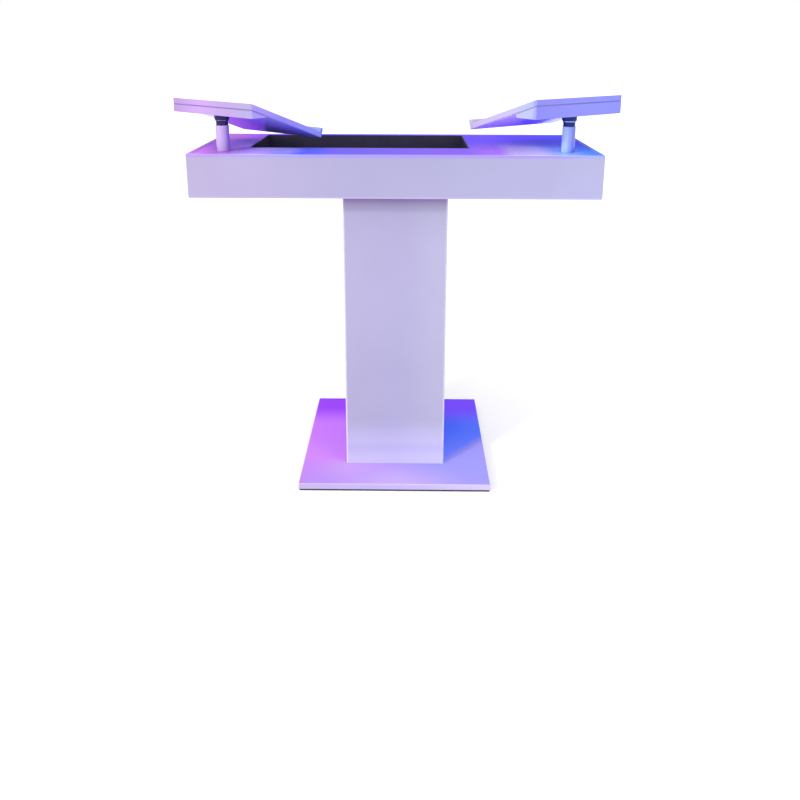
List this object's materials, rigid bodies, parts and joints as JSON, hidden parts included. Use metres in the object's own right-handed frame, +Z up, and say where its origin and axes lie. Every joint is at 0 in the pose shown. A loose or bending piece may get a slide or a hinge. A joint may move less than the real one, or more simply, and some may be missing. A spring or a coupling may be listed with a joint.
{
  "type": "dj podium stand",
  "caption": "White lacquered podium for a DJ: a shallow top box with a sunk equipment well on a square column and base plate, with swivelling laptop trays on short posts.",
  "frame": {"origin": "on the floor, at the centre of the base plate's footprint, which is also the middle of the column", "axes": "+X along the top box, to the right as the audience sees it; +Y towards the person who plays; +Z up"},
  "size_m": [1.4058, 0.6303, 1.2615],
  "materials": {
    "base_rubber": "matt black rubber sheet",
    "plate_coating": "gloss powder coat, lavender",
    "fixing_steel": "zinc plated steel",
    "column_lacquer": "high gloss lacquer on board, lavender",
    "box_lacquer": "high gloss lacquer on board, lavender",
    "deck_lacquer": "high gloss lacquer on board, violet to blue",
    "tray_lacquer": "high gloss lacquer on board, lilac to blue",
    "inner_timber": "bare planed softwood",
    "black_plastic": "satin black moulded plastic",
    "black_steel": "satin black coated steel",
    "sleeve_coating": "gloss powder coat, lilac to pale blue",
    "ring_chrome": "polished chrome",
    "pad_rubber": "matt black rubber sheet"
  },
  "bodies": {
    "stand": {"base_mat": "base_rubber", "base_plate": "plate_coating", "base_bolt_1": "fixing_steel", "base_bolt_2": "fixing_steel", "base_bolt_3": "fixing_steel", "base_bolt_4": "fixing_steel", "column_front": "column_lacquer", "column_left": "column_lacquer", "column_right": "column_lacquer", "column_rear_cover": "column_lacquer", "column_cable_port": "black_plastic", "cover_cleat_left": "inner_timber", "cover_cleat_right": "inner_timber", "cover_screw_1": "fixing_steel", "cover_screw_2": "fixing_steel", "cover_screw_3": "fixing_steel", "cover_screw_4": "fixing_steel", "foot_angle_left": "fixing_steel", "foot_angle_right": "fixing_steel", "head_angle_left": "fixing_steel", "head_angle_right": "fixing_steel", "top_screw_1": "fixing_steel", "top_screw_2": "fixing_steel", "top_screw_3": "fixing_steel", "top_screw_4": "fixing_steel", "top_floor": "box_lacquer", "top_cable_port": "black_plastic", "top_front": "box_lacquer", "top_rear": "box_lacquer", "top_end_left": "box_lacquer", "top_end_right": "box_lacquer", "deck": "deck_lacquer", "deck_batten_front": "inner_timber", "deck_batten_left": "inner_timber", "deck_batten_right": "inner_timber", "well_liner": "black_plastic", "well_bearer_left": "inner_timber", "well_bearer_right": "inner_timber", "left_post_core": "black_steel", "left_post_sleeve": "sleeve_coating", "left_post_nut": "fixing_steel", "left_post_ring": "ring_chrome", "right_post_core": "black_steel", "right_post_sleeve": "sleeve_coating", "right_post_nut": "fixing_steel", "right_post_ring": "ring_chrome"},
    "left_tray": {"left_swivel_hub": "black_steel", "left_swivel_grub": "fixing_steel", "left_tray_wedge": "tray_lacquer", "left_tray_board": "tray_lacquer", "left_tray_lip": "tray_lacquer", "left_tray_pad": "pad_rubber"},
    "right_tray": {"right_swivel_hub": "black_steel", "right_swivel_grub": "fixing_steel", "right_tray_wedge": "tray_lacquer", "right_tray_board": "tray_lacquer", "right_tray_lip": "tray_lacquer", "right_tray_pad": "pad_rubber"}
  },
  "joints": [
    {"name": "left_tray_swivel", "type": "hinge", "parent": "stand", "child": "left_tray", "pos_m": [-0.527, -0.185, 1.1917], "axis": [0, 0, 1], "continuous": true},
    {"name": "right_tray_swivel", "type": "hinge", "parent": "stand", "child": "right_tray", "pos_m": [0.527, -0.185, 1.1917], "axis": [0, 0, 1], "continuous": true}
  ]
}
